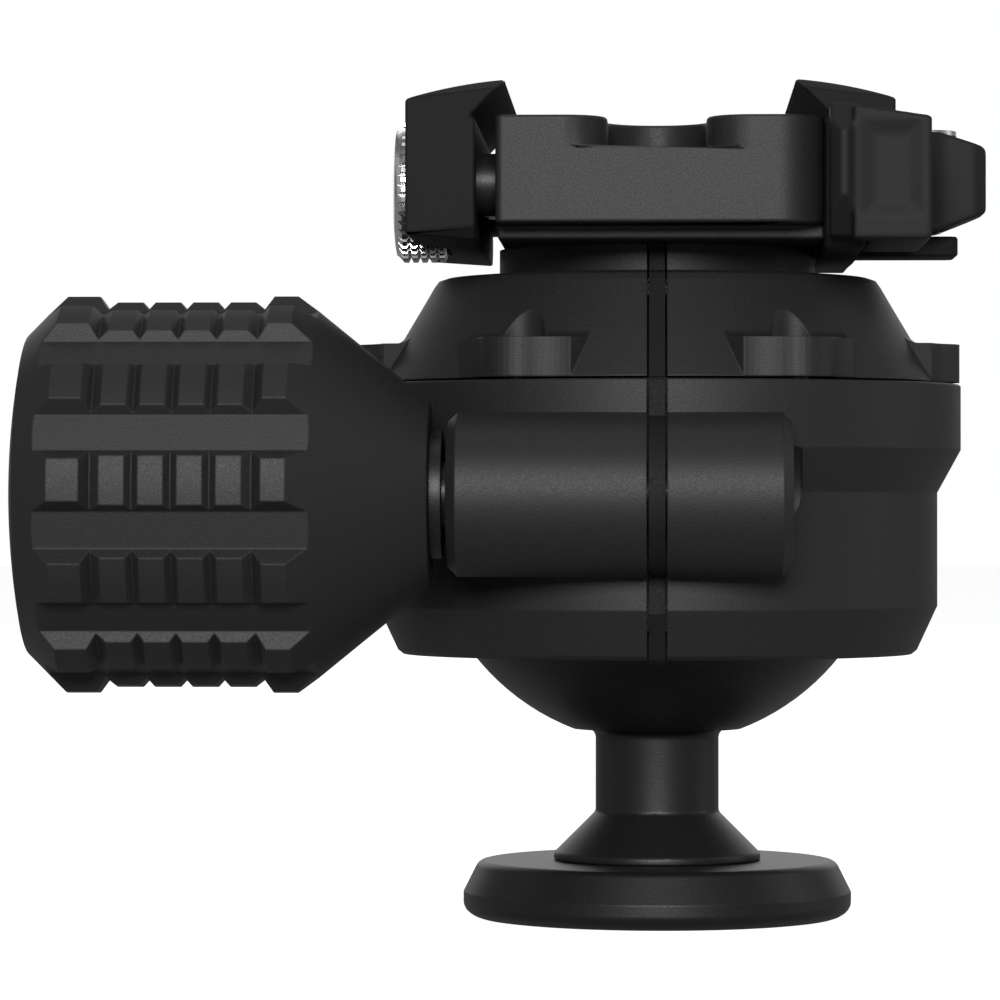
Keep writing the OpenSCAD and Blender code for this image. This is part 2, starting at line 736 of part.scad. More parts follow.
// The body from above: small edges on the left and round corners on the lever's side
module body_outline() {
    difference() {
        union() {
            translate([body_left + body_edge, -clamp_half])
                square([body_right - body_left - body_edge, 2 * clamp_half]);
            translate([body_left, body_edge - clamp_half])
                square([body_right - body_left, 2 * (clamp_half - body_edge)]);
            for (s = [-1, 1])
                translate([body_left + body_edge, s * (clamp_half - body_edge)]) circle(r = body_edge);
        }
        for (s = [-1, 1]) translate([body_right - body_corner, s * (clamp_half - body_corner)])
            scale([1, s]) difference() {
                square(2 * body_corner);
                circle(r = body_corner);
            }
    }
}

// The finger notch from above: a round end, and a mouth that rolls out into the clamp's end
module scoop_outline() {
    mouth = scoop_r + scoop_lip;
    half = concat([[mouth, -clamp_half - past]], arc(mouth, scoop_lip - clamp_half, scoop_lip, 270, 180, 6),
        arc(0, scoop_l - scoop_r - clamp_half, scoop_r, 0, 90, 8));
    polygon(concat(half, [for (i = [len(half) - 2 : -1 : 0]) [-half[i][0], half[i][1]]]));
}

module clamp_body() {
    guide_bore = guide_l + 1.6;
    spring_bore = spring_l + 1.6;
    color(anodised) difference() {
        union() {
            translate([0, 0, step_top]) linear_extrude(height = deck_h) body_outline();
            block([body_left + 0.1, step_back - clamp_half, collar_top],
                [body_right, clamp_half - step_back, step_top]);
        }
        for (s = [-1, 1]) scale([1, s, 1])
            translate([0, 0, deck_z - scoop_d]) linear_extrude(height = scoop_d + past) scoop_outline();
        x_rod(body_left - past, body_right + past, draw_r + run_fit, 0, draw_z);
        for (s = [-1, 1]) {
            x_rod(body_left - past, body_left + guide_bore, guide_r + run_fit, s * guide_y, guide_z);
            x_rod(body_left - past, body_left + spring_bore, spring_r + 0.3, s * spring_y, draw_z);
            x_rod(body_right - jaw_screw_in - screw_end, body_right + past, jaw_screw_r + seat_fit,
                s * jaw_screw_y, draw_z);
        }
        clamp_screw_places() {
            translate([0, 0, collar_top - past])
                cylinder(h = deck_h + step_h + 2 * past, r = clamp_screw_r + seat_fit);
            translate([0, 0, deck_z - clamp_head_h - 0.2])
                cylinder(h = clamp_head_h + past, r = clamp_head_r + 0.1);
        }
    }
}

module clamp_screws() {
    head_z = deck_z - clamp_head_h - 0.2;
    color(steel) clamp_screw_places() difference() {
        union() {
            translate([0, 0, cap_top - clamp_screw_in])
                cylinder(h = head_z - cap_top + clamp_screw_in, r = clamp_screw_r);
            translate([0, 0, head_z]) cylinder(h = clamp_head_h, r = clamp_head_r);
        }
        translate([0, 0, head_z + clamp_head_h * 0.5])
            cylinder(h = clamp_head_h, r = clamp_screw_r * 0.95, $fn = 6);
    }
}

// ---- jaws -----------------------------------------------------------------------------

// A jaw from the end, with its inner face on x = 0 and its body on the side of -x
module jaw_outline(depth, foot_rise) {
    crown = [for (i = [0 : 8]) let (t = i / 8) [jaw_rise - 0.4 - t * (jaw_t + jaw_rise - 0.4),
        jaw_rise + jaw_land - jaw_slope * t + 4 * jaw_bulge * t * (1 - t)]];
    polygon(concat([[-0.4, 0], [jaw_rise - 0.4, jaw_rise]], crown,
        [[-jaw_t, foot_rise - depth], [0, -depth], [0, -0.3], [-0.4, -0.3]]));
}

// Ramps that lead a plate in at both ends, above and below
module jaw_ramps(depth) {
    slope = atan(ramp_d / ramp_l);
    for (s = [-1, 1]) scale([1, s, 1]) {
        translate([jaw_rise - 0.4, -clamp_half, jaw_rise + jaw_land - ramp_d])
            rotate([slope, 0, 0]) rotate([0, -ramp_lean, 0])
                block([-3 * jaw_t, -past, 0], [jaw_t, 2 * ramp_l, 4 * ramp_d]);
        translate([0, -clamp_half, 1.3 - depth]) rotate([-45, 0, 0]) rotate([0, -4, 0])
            block([-2 * jaw_t, -3 * past, -4], [2 * jaw_t, 3 * past, 0]);
    }
}

module moving_jaw() {
    half = wheel_r + 0.5;
    color(anodised) difference() {
        translate([moving_x, 0, deck_z]) difference() {
            y_prism(-clamp_half, clamp_half) jaw_outline(jaw_depth, 0.5);
            jaw_ramps(jaw_depth);
        }
        block([moving_x - 2 * jaw_t, -half, deck_z - 2 * jaw_depth], [window_x, half, deck_z + jaw_depth]);
        x_rod(window_x - past, moving_x + past, draw_r + run_fit, 0, draw_z);
        for (s = [-1, 1]) {
            x_rod(moving_x - 5, moving_x + past, guide_r + seat_fit, s * guide_y, guide_z);
            x_rod(moving_x - 1.4, moving_x + past, spring_r + 0.3, s * spring_y, draw_z);
        }
    }
}

// The tab under the lever's hub, from above
module tab_outline() {
    out = pin_x + ledge_out;
    cut = 0.6;
    polygon([[foot_x, -3], [out - cut, -3], [out, cut - 3], [out, ledge_y - cut], [out - cut, ledge_y],
        [foot_x, ledge_y]]);
}

module fixed_jaw() {
    depth = deck_z - lever_low + 0.45;
    floor_x = pin_x - cam_r - cam_offset - cam_gap - cam_plate_t;
    floor_z = hub_low - 0.3;
    tab_z = lever_low - 0.17;
    color(anodised) difference() {
        union() {
            translate([body_right, 0, deck_z]) mirror([1, 0, 0]) difference() {
                y_prism(-clamp_half, clamp_half) jaw_outline(depth, 0);
                jaw_ramps(depth);
            }
            translate([0, 0, tab_z]) linear_extrude(height = floor_z - tab_z) tab_outline();
        }
        block([foot_x, -2 * clamp_half, lever_low - 2], [fixed_outer + past, -3, lever_low + 1.6]);
        block([foot_x, ledge_y, lever_low - 2], [fixed_outer + past, 2 * clamp_half, lever_low + 1.6]);
        block([foot_x, -ledge_y, lever_low - 2], [fixed_outer + past, 2 * ledge_y, tab_z]);
        block([floor_x, -pocket_half, floor_z],
            [fixed_outer + past, pocket_half, hub_high + pin_head_h + pin_clear]);
        x_rod(body_right - past, fixed_outer, draw_r + run_fit, 0, draw_z);
        for (s = [-1, 1]) {
            x_rod(body_right - past, fixed_outer, jaw_screw_r + seat_fit, s * jaw_screw_y, draw_z);
            x_rod(fixed_outer - jaw_head_h - 0.3, fixed_outer + past, jaw_head_r + 0.1,
                s * jaw_screw_y, draw_z);
        }
    }
}

module jaw_screws() {
    head_x = fixed_outer - jaw_head_h - 0.3;
    color(steel) for (s = [-1, 1]) difference() {
        union() {
            x_rod(body_right - jaw_screw_in, head_x, jaw_screw_r, s * jaw_screw_y, draw_z);
            x_rod(head_x, head_x + jaw_head_h, jaw_head_r, s * jaw_screw_y, draw_z);
        }
        translate([head_x + jaw_head_h / 2, s * jaw_screw_y, draw_z]) rotate([0, 90, 0])
            cylinder(h = jaw_head_h, r = jaw_screw_r * 0.95, $fn = 6);
    }
}

module cam_plate() {
    plate_x = pin_x - cam_r - cam_offset - cam_gap;
    color(steel) difference() {
        block([plate_x - cam_plate_t + seat_fit, 0.1 - pocket_half, hub_low - 0.3],
            [plate_x, pocket_half - 0.1, hub_high - pin_clear]);
        x_rod(plate_x - cam_plate_t - past, plate_x + past, draw_r + 2 * run_fit, 0, draw_z);
    }
}

module guide_pins() {
    color(satin_black) for (s = [-1, 1])
        x_rod(moving_x - 4.9, body_left + guide_l, guide_r, s * guide_y, guide_z);
}

module jaw_springs() {
    color(steel) for (s = [-1, 1]) difference() {
        x_rod(moving_x - 1.3, body_left + spring_l, spring_r, s * spring_y, draw_z);
        x_rod(moving_x - 2, body_left + spring_l + past, spring_r - 0.5, s * spring_y, draw_z);
    }
}

// ---- jaw drive ------------------------------------------------------------------------

module draw_bolt() {
    flat_x = body_right + 3.2;
    color(steel) difference() {
        union() {
            x_rod(wheel_out + 0.3, pin_x, draw_r, 0, draw_z);
            translate([pin_x, 0, draw_z - eye_half]) cylinder(h = 2 * eye_half, r = eye_r);
        }
        for (s = [-1, 1]) translate([0, 0, draw_z + s * 2 * eye_half])
            block([flat_x, -2 * eye_r, -eye_half], [pin_x + 2 * eye_r, 2 * eye_r, eye_half]);
        translate([pin_x, 0, draw_z - draw_r - past]) cylinder(h = 2 * (draw_r + past), r = pin_r + seat_fit);
    }
}

// Crossed knurling: points stand where the two sets of grooves leave them
module diamond_knurl(x0, x1, r_low, r_high) {
    columns = 2 * knurl_n;
    rows = 2 * knurl_rows;
    points = concat([for (j = [0 : rows], i = [0 : columns - 1])
            let (peak = (i + j) % 2 == 0 && j > 0 && j < rows, r = peak ? r_high : r_low,
                a = i * 360 / columns)
            [x0 + (x1 - x0) * j / rows, r * cos(a), -r * sin(a)]],
        [[x0, 0, 0], [x1, 0, 0]]);
    sides = [for (j = [0 : rows - 1], i = [0 : columns - 1])
        let (a = j * columns + i, b = j * columns + (i + 1) % columns, c = b + columns, d = a + columns)
        each ((i + j) % 2 == 0 ? [[a, b, d], [b, c, d]] : [[a, b, c], [a, c, d]])];
    last = rows * columns;
    ends = [for (i = [0 : columns - 1]) let (k = (i + 1) % columns)
        each [[last + columns, k, i], [last + columns + 1, last + i, last + k]]];
    polyhedron(points = points, faces = concat(sides, ends), convexity = 4);
}

module adjusting_wheel() {
    rim = wheel_r - knurl_d;
    color(steel) difference() {
        union() {
            translate([0, 0, draw_z]) diamond_knurl(wheel_out + wheel_crown, wheel_x - 0.15, rim, wheel_r);
            x_turned([[0, wheel_out], [rim * 0.55, wheel_out + wheel_crown * 0.22],
                [rim * 0.9, wheel_out + wheel_crown * 0.75], [rim - 0.1, wheel_out + wheel_crown + 0.1],
                [rim - 0.1, wheel_x - 0.3], [rim - 0.4, wheel_x], [0, wheel_x]], 0, draw_z);
        }
        x_rod(wheel_out - past, wheel_x + past, draw_r + run_fit, 0, draw_z);
    }
}

module lever_pin() {
    color(steel) union() {
        translate([pin_x, 0, hub_low + 0.1]) cylinder(h = hub_high - hub_low, r = pin_r);
        translate([pin_x, 0, hub_high + 0.02]) cylinder(h = pin_head_h - 0.02, r = pin_head_r);
    }
}

// ---- lever ----------------------------------------------------------------------------

// The hub and outer wall from above; the cam's centre is offset from the pin
module hub_outline() {
    corner = 1.6;
    union() {
        polygon(concat([[lever_in, -cam_r], [lever_in, lever_back], [lever_x, lever_back]],
            arc(lever_x + hub_fillet, hub_y - hub_fillet, hub_fillet, 180, 90, 10),
            arc(pin_x + hub_out - corner, hub_y + corner, corner, 270, 360, 6),
            arc(pin_x + hub_out - 2.5, 0, 2.5, 0, 90, 6), [[pin_x, 2.5], [pin_x - cam_offset, -cam_offset]]));
        translate([pin_x - cam_offset, -cam_offset]) circle(r = cam_r);
    }
}

// The lever's wall beside the clamp, and its flange under the jaw
module lever_wall_shape() {
    block([lever_in, lever_front + ridge_up + dish_d + past, lever_low],
        [lever_x, hub_y - hub_fillet - 0.8, hub_high - 0.4]);
    block([lever_in - 3, lever_back - 0.5, lever_low], [lever_x, hub_y - 1.2, lever_low + 1.3]);
}

// The ridge at the nose: an upright column with a narrow front that slopes back above and below
module ridge_shape() {
    top = deck_z + 0.84;
    low = lever_low + 0.44;
    out = post_x + post_w;
    intersection() {
        translate([0, 0, low]) linear_extrude(height = top - low)
            polygon([[post_x, lever_back], [post_x, lever_front + 1.1], [post_x + 0.9, lever_front],
                [out - 0.8, lever_front], [out, lever_front + 1], [out, lever_back]]);
        x_prism(post_x, out) polygon([[lever_front, low + 3.6], [lever_front + 3.2, low], [lever_back, low],
            [lever_back, top], [lever_front + 2.9, top], [lever_front, top - 2.7]]);
    }
}

// The front panel beside the ridge, with its thumb dish
module panel_shape() {
    face = lever_front + ridge_up;
    left = post_x + post_w;
    high = deck_z + 0.54;
    low = lever_low + 2;
    slope = 1.4;
    difference() {
        y_prism(face, lever_back) polygon([[left - 0.3, lever_low + 0.1], [lever_x - 0.4, lever_low],
            [lever_x, lever_low + 0.4], [lever_x, high - 1.1], [left - 0.3, high]]);
        intersection() {
            translate([0, 0, low - past]) linear_extrude(height = high - low)
                polygon([[left + 0.3, face - past], [left + 0.3, face], [left + 0.3 + slope, face + dish_d],
                    [lever_x - 0.7 - slope, face + dish_d], [lever_x - 0.7, face],
                    [lever_x - 0.7, face - past]]);
            x_prism(left, lever_x) polygon([[face - past, low], [face, low], [face + dish_d, low + slope],
                [face + dish_d, high - 1.4 - slope], [face, high - 1.4], [face - past, high - 1.4]]);
        }
    }
}

// Slopes that thin the hub towards its outer edge
module hub_slopes() {
    reach = 3 * cam_r;
    translate([pin_x + 1.37, 0, hub_high]) rotate([0, 18, 0]) block([0, -reach, 0], [reach, reach, cam_r]);
    translate([pin_x + hub_out - 0.45, 0, hub_high - 1.31]) rotate([0, 41, 0])
        block([-past, -reach, 0], [reach, reach, cam_r]);
    translate([pin_x + 1.2, 0, hub_low]) rotate([0, -21.4, 0]) block([0, -reach, -cam_r], [reach, reach, 0]);
}

module lever() {
    spin = 0.3;
    slot_half = eye_half + eye_clear;
    room = 4 * eye_r;
    color(satin_black) difference() {
        union() {
            translate([0, 0, hub_low]) linear_extrude(height = hub_high - hub_low) hub_outline();
            lever_wall_shape();
            ridge_shape();
            panel_shape();
        }
        // room for the draw bolt's eye while the lever swings
        translate([pin_x, 0, draw_z - slot_half]) cylinder(h = 2 * slot_half, r = eye_r + spin);
        block([pin_x - room, -draw_r - spin, draw_z - slot_half],
            [pin_x + draw_r + spin, room, draw_z + slot_half]);
        translate([pin_x, 0, hub_low - past]) cylinder(h = deck_h + 2 * past, r = pin_r + run_fit);
        hub_slopes();
    }
}

base_plate();
thread_bush();
base_screws();
ball_stem();
friction_dome();
ball_liner();
main_housing();
housing_cap();
cap_screws();
preload_ring();
slot_seal();
bolt_anchor();
thrust_collar();
knob_body();
knob_end_cap();
knob_nut();
pinch_bolt();
clamp_collar();
clamp_body();
clamp_screws();
fixed_jaw();
jaw_screws();
cam_plate();
moving_jaw();
guide_pins();
jaw_springs();
draw_bolt();
adjusting_wheel();
lever();
lever_pin();
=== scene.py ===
"""Looks for the tripod ball head: finishes, finer pieces, a white studio and the photograph's camera."""

import json
import math

import bmesh
import bpy
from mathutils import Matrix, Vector


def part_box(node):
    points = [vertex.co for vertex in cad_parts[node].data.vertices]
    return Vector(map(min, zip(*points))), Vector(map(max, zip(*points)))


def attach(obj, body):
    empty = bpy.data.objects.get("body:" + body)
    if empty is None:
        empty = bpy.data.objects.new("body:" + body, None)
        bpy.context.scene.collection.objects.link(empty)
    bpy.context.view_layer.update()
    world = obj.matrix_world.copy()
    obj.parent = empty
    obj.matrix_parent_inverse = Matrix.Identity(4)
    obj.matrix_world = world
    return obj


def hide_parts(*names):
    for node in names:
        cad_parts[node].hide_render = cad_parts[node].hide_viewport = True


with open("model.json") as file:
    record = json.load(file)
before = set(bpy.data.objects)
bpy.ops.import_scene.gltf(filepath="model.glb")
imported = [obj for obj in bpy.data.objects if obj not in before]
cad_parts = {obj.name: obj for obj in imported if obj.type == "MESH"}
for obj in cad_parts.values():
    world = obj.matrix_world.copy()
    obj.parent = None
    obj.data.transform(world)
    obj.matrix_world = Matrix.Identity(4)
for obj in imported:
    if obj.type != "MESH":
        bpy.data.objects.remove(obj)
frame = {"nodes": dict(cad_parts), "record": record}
NODES = frame["nodes"]
SLOT_OF = {part["node"]: part["material_slot"] for part in frame["record"]["subparts"]}
BODY_OF = {node: body for body, nodes in frame["record"]["behaviour"]["bodies"].items() for node in nodes}
MM = 0.001


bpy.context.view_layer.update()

# ---- camera ---------------------------------------------------------------------------

# Fitted to the curves of three round rims in the photograph.
CAMERA_PLACE = (0.0, -490.3 * MM, 40.02 * MM)
CAMERA_FOV = math.radians(11.47)
CAMERA_YAW = math.radians(1.807)
CAMERA_PITCH = math.radians(0.11)
CAMERA_NEAR = 10 * MM


def add_camera():
    data = bpy.data.cameras.new("camera")
    data.sensor_fit = "HORIZONTAL"
    data.angle = CAMERA_FOV
    data.clip_start = CAMERA_NEAR
    camera = bpy.data.objects.new("camera", data)
    camera.location = CAMERA_PLACE
    camera.rotation_euler = (math.pi / 2 + CAMERA_PITCH, 0, CAMERA_YAW)
    bpy.context.scene.collection.objects.link(camera)
    bpy.context.scene.camera = camera


# ---- materials ------------------------------------------------------------------------

# A noise has most of its values between these two.
NOISE_LOW = 0.3
NOISE_HIGH = 0.7

# How many rays a soft edge takes at each point.
RIM_SAMPLES = 6

# Sizes of the grain.
BLASTED = 0.17 * MM
FINE = 0.13 * MM
TOOL_MARKS = 0.25 * MM
OXIDE = 0.3 * MM
MOULDED = 0.35 * MM


class Finish:
    """A principled material whose grain can drive its bump, its roughness and its colour."""

    def __init__(self, name, colour, roughness, metallic=0.0, specular=0.5):
        self.material = bpy.data.materials.new(name)
        self.material.use_nodes = True
        self.nodes = self.material.node_tree.nodes
        self.links = self.material.node_tree.links
        self.shader = self.nodes["Principled BSDF"]
        self.shader.inputs["Base Color"].default_value = (*colour, 1)
        self.shader.inputs["Roughness"].default_value = roughness
        self.shader.inputs["Metallic"].default_value = metallic
        self.shader.inputs["Specular IOR Level"].default_value = specular
        self.place = self.nodes.new("ShaderNodeTexCoord").outputs["Object"]
        self.normal = None

    def noise(self, size, detail, stretch=(1, 1, 1)):
        """Noise whose features are about the given size, in metres."""
        mapping = self.nodes.new("ShaderNodeMapping")
        mapping.inputs["Scale"].default_value = stretch
        self.links.new(self.place, mapping.inputs["Vector"])
        texture = self.nodes.new("ShaderNodeTexNoise")
        texture.inputs["Scale"].default_value = 1 / size
        texture.inputs["Detail"].default_value = detail
        self.links.new(mapping.outputs["Vector"], texture.inputs["Vector"])
        return texture.outputs["Fac"]

    def ramp(self, value, low, high):
        """The noise's values spread over a new range."""
        spread = self.nodes.new("ShaderNodeMapRange")
        spread.inputs["From Min"].default_value = NOISE_LOW
        spread.inputs["From Max"].default_value = NOISE_HIGH
        spread.inputs["To Min"].default_value = low
        spread.inputs["To Max"].default_value = high
        self.links.new(value, spread.inputs["Value"])
        return spread.outputs["Result"]

    def soft_edges(self, radius):
        """Lets sharp rims catch the light as small rounds. It comes before any bump."""
        bevel = self.nodes.new("ShaderNodeBevel")
        bevel.samples = RIM_SAMPLES
        bevel.inputs["Radius"].default_value = radius
        self.normal = bevel.outputs["Normal"]
        self.links.new(self.normal, self.shader.inputs["Normal"])
        return self

    def bump(self, height, distance, strength):
        """Grain that stands up by the given distance, in metres, over the soft edges if there are any."""
        bump = self.nodes.new("ShaderNodeBump")
        bump.inputs["Distance"].default_value = distance
        bump.inputs["Strength"].default_value = strength
        self.links.new(height, bump.inputs["Height"])
        if self.normal:
            self.links.new(self.normal, bump.inputs["Normal"])
        self.normal = bump.outputs["Normal"]
        self.links.new(self.normal, self.shader.inputs["Normal"])
        return self

    def rough(self, value, low, high):
        """Roughness that drifts between two values."""
        self.links.new(self.ramp(value, low, high), self.shader.inputs["Roughness"])
        return self

    def tint(self, value, dark, light):
        """Colour that drifts between two tones."""
        mix = self.nodes.new("ShaderNodeMix")
        mix.data_type = "RGBA"
        mix.inputs["A"].default_value = (*dark, 1)
        mix.inputs["B"].default_value = (*light, 1)
        self.links.new(self.ramp(value, 0, 1), mix.inputs["Factor"])
        self.links.new(mix.outputs["Result"], self.shader.inputs["Base Color"])
        return self


def grey(level):
    """A grey with a touch of blue."""
    return (level, level, level * 1.02)


def darker(colour, share):
    return tuple(level * share for level in colour)


def anodised():
    """Bead-blasted black anodising: a fine even grain and soft rims."""
    finish = Finish("anodised", grey(0.01), roughness=0.54, specular=0.25)
    grain = finish.noise(BLASTED, detail=3)
    finish.soft_edges(radius=0.25 * MM).bump(grain, distance=0.022 * MM, strength=0.9)
    finish.rough(grain, low=0.48, high=0.6)
    return finish.tint(grain, dark=grey(0.0085), light=grey(0.0115)).material


def satin_black():
    """Smoother anodising on the ball, its stem, the flange, the washer and the guide pins."""
    finish = Finish("satin_black", grey(0.006), roughness=0.44, specular=0.26)
    grain = finish.noise(BLASTED, detail=3)
    finish.soft_edges(radius=0.2 * MM).bump(grain, distance=0.018 * MM, strength=0.8)
    finish.rough(grain, low=0.4, high=0.48)
    return finish.tint(grain, dark=grey(0.005), light=grey(0.007)).material


def jaw_black():
    """The duller black of the two jaws."""
    finish = Finish("jaw_black", grey(0.006), roughness=0.76, specular=0.16)
    grain = finish.noise(FINE, detail=2)
    finish.soft_edges(radius=0.2 * MM).bump(grain, distance=0.006 * MM, strength=0.6)
    return finish.tint(grain, dark=grey(0.005), light=grey(0.007)).material


def lever_black():
    """The lever's black, a little lighter and smoother than the jaws'. Its skin is round already."""
    finish = Finish("lever_black", grey(0.009), roughness=0.6, specular=0.12)
    grain = finish.noise(FINE, detail=2)
    finish.bump(grain, distance=0.006 * MM, strength=0.6)
    return finish.tint(grain, dark=grey(0.008), light=grey(0.01)).material


def metal(name, colour, low, high, stretch):
    """Turned or ground steel with fine tool marks."""
    finish = Finish(name, colour, roughness=low, metallic=1.0)
    marks = finish.noise(TOOL_MARKS, detail=3, stretch=stretch)
    finish.soft_edges(radius=0.1 * MM).bump(marks, distance=0.006 * MM, strength=0.6)
    return finish.rough(marks, low, high).tint(marks, darker(colour, 0.85), colour).material


def knurled_steel():
    """Bright steel, sharp at every tooth of the knurling."""
    finish = Finish("knurled_steel", (0.55, 0.55, 0.56), roughness=0.24, metallic=1.0)
    marks = finish.noise(TOOL_MARKS, detail=3, stretch=(1, 1, 6))
    finish.bump(marks, distance=0.004 * MM, strength=0.5)
    finish.rough(marks, low=0.2, high=0.3)
    return finish.tint(marks, dark=(0.48, 0.48, 0.49), light=(0.6, 0.6, 0.61)).material


def black_screw():
    """Blackened steel with a fine oxide scale."""
    finish = Finish("black_screw", grey(0.012), roughness=0.42, specular=0.5)
    scale = finish.noise(OXIDE, detail=3)
    finish.soft_edges(radius=0.1 * MM).bump(scale, distance=0.01 * MM, strength=0.6)
    return finish.rough(scale, low=0.36, high=0.5).material


def moulded(name, colour, low, high, specular=0.4):
    """Moulded plastic or rubber with a soft, uneven grain."""
    finish = Finish(name, colour, roughness=low, specular=specular)
    grain = finish.noise(MOULDED, detail=4)
    finish.soft_edges(radius=0.1 * MM).bump(grain, distance=0.015 * MM, strength=0.7)
    return finish.rough(grain, low, high).tint(grain, darker(colour, 0.8), colour).material


def make_finishes():
    return {
        "anodised": anodised(),
        "satin_black": satin_black(),
        "jaw_black": jaw_black(),
        "lever_black": lever_black(),
        "steel": metal("steel", (0.5, 0.5, 0.52), low=0.28, high=0.42, stretch=(8, 1, 1)),
        "bright_steel": metal("bright_steel", (0.82, 0.82, 0.81), low=0.16, high=0.26, stretch=(1, 1, 6)),
        "knurled_steel": knurled_steel(),
        "black_screw": black_screw(),
        "polymer": moulded("polymer", (0.7, 0.68, 0.6), low=0.4, high=0.55),
        # Where the ball liner takes this finish, its black is painted shade. The liner's own polymer is
        # pale, and the black darkens the gaps beside the slot seal.
        "black_polymer": moulded("black_polymer", (0.03, 0.03, 0.031), low=0.5, high=0.6),
        "seal": moulded("seal", grey(0.006), low=0.6, high=0.75, specular=0.14),
    }


# Nodes that look better in another finish than their slot's own. The ball liner's black is painted shade:
# its own polymer is pale, and the black darkens the narrow gaps beside the slot seal where the liner shows
# through.
OTHER_FINISH = {
    "fixed_jaw": "jaw_black",
    "moving_jaw": "jaw_black",
    "lever": "lever_black",
    "base_plate": "satin_black",
    # Painted shade: this black is not the liner's own colour but stands in for the shade in the gaps beside
    # the slot seal.
    "ball_liner": "black_polymer",
    "adjusting_wheel": "knurled_steel",
}


def finish_of(name):
    return FINISHES[OTHER_FINISH.get(name, SLOT_OF[name])]


def dress_nodes():
    for name, node in NODES.items():
        node.data.materials.clear()
        node.data.materials.append(finish_of(name))


# ---- pieces with finer shapes than their solids -----------------------------------------

# Corners closer than this are one, and faces that turn by less than this are one flat face.
WELD_GAP = 0.002 * MM
FLAT_TURN = math.radians(0.5)

# Each rounded node and its radius. An edge that turns by more than ROUND_TURN is rounded, and one that turns
# by more than SHARP_TURN is shaded sharp.
ROUNDS = {
    "moving_jaw": 0.3 * MM,
    "fixed_jaw": 0.3 * MM,
    "clamp_body": 0.3 * MM,
    "base_plate": 0.6 * MM,
    "ball_stem": 0.25 * MM,
}
ROUND_STEPS = 3
ROUND_TURN = math.radians(30)
SHARP_TURN = math.radians(20)

# The lever's skin: its grid, and how often and how far each point moves towards its neighbours.
SKIN_GRID = 0.23 * MM
SKIN_PASSES = 5
SKIN_PULL = 0.5


def stand_in(name, mesh):
    """A finer piece in a node's place: it rides on the node's body and takes its finish."""
    piece = bpy.data.objects.new(name + ".fine", mesh)
    bpy.context.scene.collection.objects.link(piece)
    mesh.materials.clear()
    mesh.materials.append(finish_of(name))
    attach(piece, BODY_OF[name])
    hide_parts(name)
    return piece


def welded_copy(name):
    """A node's shape as a new mesh with joined corners and whole flat faces."""
    mesh = NODES[name].data.copy()
    shape = bmesh.new()
    shape.from_mesh(mesh)
    bmesh.ops.remove_doubles(shape, verts=shape.verts, dist=WELD_GAP)
    bmesh.ops.dissolve_limit(shape, angle_limit=FLAT_TURN, verts=shape.verts, edges=shape.edges)
    shape.to_mesh(mesh)
    shape.free()
    return mesh


def round_edges(name, radius):
    """A node with real rounds on its edges."""
    mesh = welded_copy(name)
    piece = stand_in(name, mesh)
    rounds = piece.modifiers.new("rounds", "BEVEL")
    rounds.width = radius
    rounds.segments = ROUND_STEPS
    rounds.limit_method = "ANGLE"
    rounds.angle_limit = ROUND_TURN
    rounds.use_clamp_overlap = False
    mesh.shade_smooth()
    mesh.set_sharp_from_angle(angle=SHARP_TURN)
    rounds.harden_normals = True


def soften(name):
    """A node cast again as one soft skin, so that its facets run into each other."""
    piece = stand_in(name, welded_copy(name))
    skin = piece.modifiers.new("skin", "REMESH")
    skin.mode = "VOXEL"
    skin.voxel_size = SKIN_GRID
    skin.use_smooth_shade = True
    smooth = piece.modifiers.new("smooth", "SMOOTH")
    smooth.factor = SKIN_PULL
    smooth.iterations = SKIN_PASSES


# ---- thumb wheel ------------------------------------------------------------------------

# Lengths here are in millimetres. Of each pair, the first is how far in from the wheel's outer face it lies,
# and the second is its radius.
WHEEL_BORE = 2.58
WHEEL_CROWN = ((0.04, 3.2), (0.12, 4.7), (0.22, 5.65), (0.33, 6.25))
WHEEL_BACK = (5.3, 6.1)

# The teeth stand on a smooth drum, in rings that are KNURL_FLAT wide and one KNURL_PITCH apart.
# The two starts are how far in the drum and the first ring begin.
DRUM_RADIUS = 6.43
DRUM_START = 0.6
KNURL_START = 1.03
KNURL_PITCH = 0.898
KNURL_FLAT = 0.42
KNURL_RINGS = 5

# Each ring's teeth, the first one's place, and where a tooth's top starts and ends, as shares of its step.
KNURL_TEETH = 45
KNURL_STEP = math.tau / KNURL_TEETH
KNURL_TURN = math.radians(5.3)
TOP_START = 0.28
TOP_END = 0.72
KNURL_SHARP_TURN = math.radians(18)


def wheel_profile(tooth_radius):
    """Rows of how far in from the outer face, the radius between teeth and the radius on them."""
    back, back_radius = WHEEL_BACK
    rows = [(0.0, WHEEL_BORE, WHEEL_BORE)]
    rows += [(depth, radius, radius) for depth, radius in WHEEL_CROWN]
    rows.append((DRUM_START, DRUM_RADIUS, DRUM_RADIUS))
    slope = (KNURL_PITCH - KNURL_FLAT) / 2
    for ring in range(KNURL_RINGS):
        start = KNURL_START + ring * KNURL_PITCH
        rows.append((start, DRUM_RADIUS, tooth_radius))
        rows.append((start + KNURL_FLAT, DRUM_RADIUS, tooth_radius))
        rows.append((start + KNURL_FLAT + slope, DRUM_RADIUS, DRUM_RADIUS))
    rows.append((back, back_radius, back_radius))
    rows.append((back, WHEEL_BORE, WHEEL_BORE))
    return rows


def wheel_ring(shape, centre, depth, low, high):
    """A ring of points with their radii: for each tooth a low one before it and two where its top ends."""
    ring = []
    for number in range(KNURL_TEETH):
        for share, radius in ((0.0, low), (TOP_START, high), (TOP_END, high)):
            angle = (number + share) * KNURL_STEP + KNURL_TURN
            place = (centre[0] + depth * MM, centre[1] - radius * MM * math.cos(angle),
                     centre[2] - radius * MM * math.sin(angle))
            ring.append((shape.verts.new(place), radius))
    return ring


